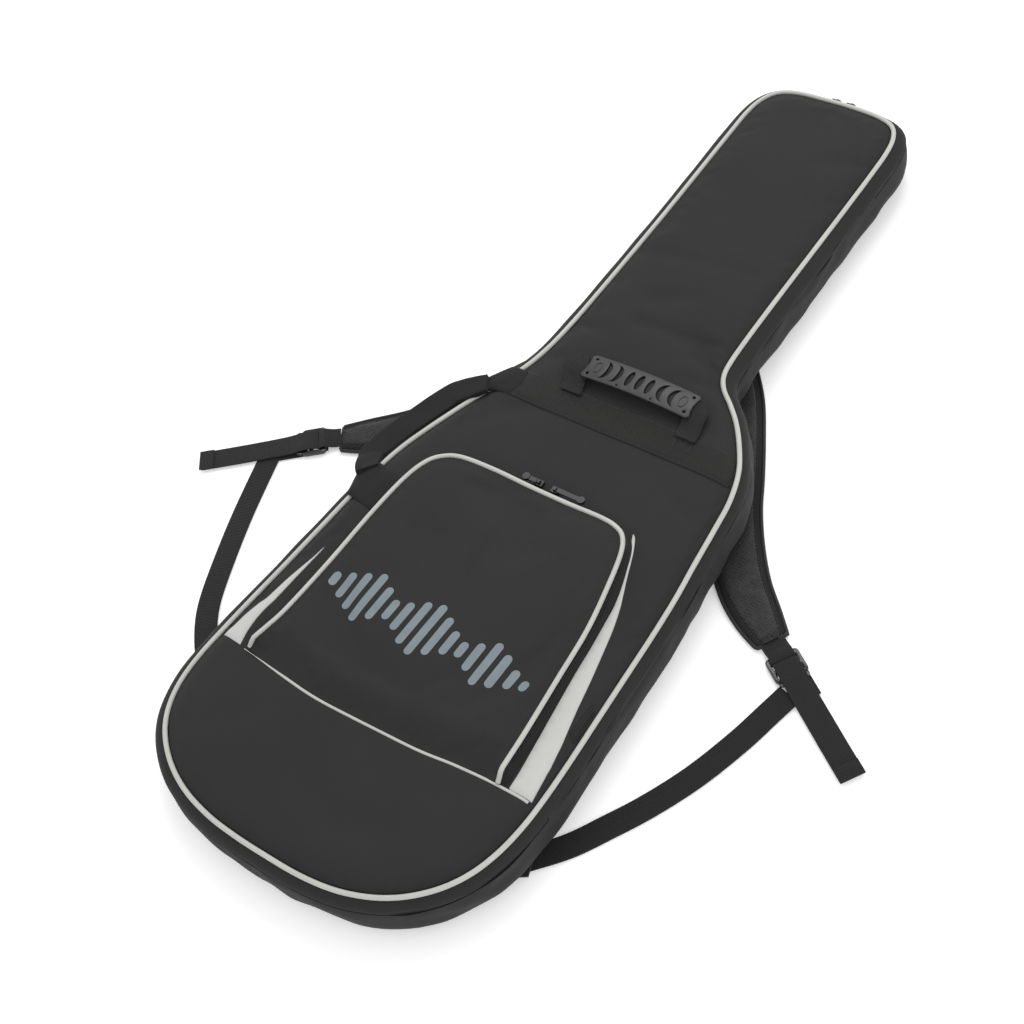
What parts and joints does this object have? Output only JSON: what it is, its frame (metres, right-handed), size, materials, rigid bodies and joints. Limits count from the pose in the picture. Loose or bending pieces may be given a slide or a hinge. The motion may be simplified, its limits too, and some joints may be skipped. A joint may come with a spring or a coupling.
{
  "type": "guitar gig bag",
  "caption": "Padded soft guitar bag with a fold-open lid, zip pocket, piping, grip handles and adjustable shoulder straps.",
  "frame": {"origin": "middle of the flat rear face that the bag lies on", "axes": "+Y towards the headstock end, +Z out of the front panel, +X to the bag's right as seen from its front"},
  "size_m": [0.822, 1.0706, 0.0844],
  "materials": {
    "woven_black": "matte densely woven polyester",
    "ribbed_black": "ribbed webbing and grosgrain",
    "mesh_black": "open spacer mesh",
    "piping_grey": "smooth light grey piping",
    "pale_grey": "light grey woven insert",
    "lining_black": "brushed nylon lining",
    "foam": "closed padding",
    "zip_tape": "knitted zip tape with coil",
    "zip_metal": "black enamelled die casting",
    "rubber_grip": "moulded soft grip",
    "gloss_black": "moulded acetal buckle"
  },
  "bodies": {
    "back": {"back_panel": "woven_black", "side_wall": "woven_black", "side_foam": "foam", "back_lining": "lining_black", "main_zip_lower": "zip_tape", "spine_wall": "woven_black", "spine_strip": "woven_black", "spine_piping": "piping_grey", "strap_yoke": "woven_black", "lower_anchor_right": "ribbed_black", "lower_anchor_left": "ribbed_black"},
    "lid": {"main_zip_upper": "zip_tape", "lid_wall": "woven_black", "lid_lining": "lining_black", "lid_foam": "foam", "front_panel": "woven_black", "front_piping": "piping_grey", "lower_panel": "woven_black", "seam_piping": "piping_grey", "reinforcement_band": "ribbed_black", "pocket_gusset": "zip_tape", "pale_panel_right": "pale_grey", "pale_panel_left": "pale_grey", "side_patch_upper": "woven_black", "side_patch_lower": "woven_black"},
    "pocket": {"pocket_panel": "woven_black", "pocket_piping": "piping_grey"},
    "front_handle": {"handle_grip": "rubber_grip", "handle_loop_left": "ribbed_black", "handle_loop_right": "ribbed_black"},
    "side_handle": {"side_grip": "woven_black"},
    "pocket_left_runner": {"pocket_left_slider": "zip_metal"},
    "pocket_left_tab": {"pocket_left_pull": "zip_metal"},
    "pocket_right_runner": {"pocket_right_slider": "zip_metal"},
    "pocket_right_tab": {"pocket_right_pull": "zip_metal"},
    "main_low_runner": {"main_low_slider": "zip_metal"},
    "main_low_tab": {"main_low_pull": "zip_metal"},
    "main_high_runner": {"main_high_slider": "zip_metal"},
    "main_high_tab": {"main_high_pull": "zip_metal"},
    "strap_right": {"strap_pad_right": "woven_black", "strap_mesh_right": "mesh_black", "buckle_loop_right": "ribbed_black"},
    "adjuster_right": {"buckle_right": "gloss_black"},
    "lower_strap_right": {"webbing_right": "ribbed_black", "webbing_tail_right": "ribbed_black"},
    "strap_left": {"strap_pad_left": "woven_black", "strap_mesh_left": "mesh_black", "buckle_loop_left": "ribbed_black"},
    "adjuster_left": {"buckle_left": "gloss_black"},
    "lower_strap_left": {"webbing_left": "ribbed_black", "webbing_tail_left": "ribbed_black"}
  },
  "joints": [
    {"name": "lid_fold", "type": "hinge", "parent": "back", "child": "lid", "pos_m": [0.197, -0.097, 0.066], "axis": [-0.1333, 0.9911, 0], "range_deg": [0, 105]},
    {"name": "pocket_fold", "type": "hinge", "parent": "lid", "child": "pocket", "pos_m": [0, -0.1, 0.0702], "axis": [1, 0, 0], "range_deg": [0, 100]},
    {"name": "front_handle_swing", "type": "hinge", "parent": "lid", "child": "front_handle", "pos_m": [0.027, 0.302, 0.06865], "axis": [1, 0, 0], "range_deg": [0, 115]},
    {"name": "side_handle_swing", "type": "hinge", "parent": "lid", "child": "side_handle", "pos_m": [-0.1658, 0.191, 0.066], "axis": [0.2846, 0.9586, 0], "range_deg": [0, 55]},
    {"name": "pocket_left_slide", "type": "slide", "parent": "lid", "child": "pocket_left_runner", "axis": [-1, 0, 0], "range_m": [0, 0.075]},
    {"name": "pocket_left_flip", "type": "hinge", "parent": "pocket_left_runner", "child": "pocket_left_tab", "pos_m": [0.003, 0.1843, 0.079], "axis": [0, 1, 0], "range_deg": [0, 85]},
    {"name": "pocket_right_slide", "type": "slide", "parent": "lid", "child": "pocket_right_runner", "axis": [1, 0, 0], "range_m": [0, 0.05]},
    {"name": "pocket_right_flip", "type": "hinge", "parent": "pocket_right_runner", "child": "pocket_right_tab", "pos_m": [0.023, 0.1843, 0.079], "axis": [0, -1, 0], "range_deg": [0, 85]},
    {"name": "main_low_slide", "type": "slide", "parent": "back", "child": "main_low_runner", "axis": [-1, 0, 0], "range_m": [0, 0.045]},
    {"name": "main_low_flip", "type": "hinge", "parent": "main_low_runner", "child": "main_low_tab", "pos_m": [-0.012, 0.79525, 0.05], "axis": [1, 0, 0], "range_deg": [0, 150]},
    {"name": "main_high_slide", "type": "slide", "parent": "back", "child": "main_high_runner", "axis": [1, 0, 0], "range_m": [0, 0.045]},
    {"name": "main_high_flip", "type": "hinge", "parent": "main_high_runner", "child": "main_high_tab", "pos_m": [0.006, 0.79525, 0.05], "axis": [1, 0, 0], "range_deg": [0, 150]},
    {"name": "strap_swing_right", "type": "hinge", "parent": "back", "child": "strap_right", "pos_m": [0.042, 0.4782, 0.0086], "axis": [1, 0, 0], "range_deg": [0, 90]},
    {"name": "buckle_tilt_right", "type": "hinge", "parent": "strap_right", "child": "adjuster_right", "pos_m": [0.28571, 0.15799, 0.0045], "axis": [0.5461, 0.8377, 0], "range_deg": [0, 40]},
    {"name": "webbing_tilt_right", "type": "hinge", "parent": "adjuster_right", "child": "lower_strap_right", "pos_m": [0.29744, 0.15035, 0.0045], "axis": [0.5461, 0.8377, 0], "range_deg": [0, 30]},
    {"name": "strap_swing_left", "type": "hinge", "parent": "back", "child": "strap_left", "pos_m": [-0.042, 0.4782, 0.0086], "axis": [1, 0, 0], "range_deg": [0, 90]},
    {"name": "buckle_tilt_left", "type": "hinge", "parent": "strap_left", "child": "adjuster_left", "pos_m": [-0.29219, 0.16126, 0.0045], "axis": [0.6129, -0.7902, 0], "range_deg": [0, 40]},
    {"name": "webbing_tilt_left", "type": "hinge", "parent": "adjuster_left", "child": "lower_strap_left", "pos_m": [-0.30325, 0.15268, 0.0045], "axis": [0.6129, -0.7902, 0], "range_deg": [0, 30]}
  ]
}
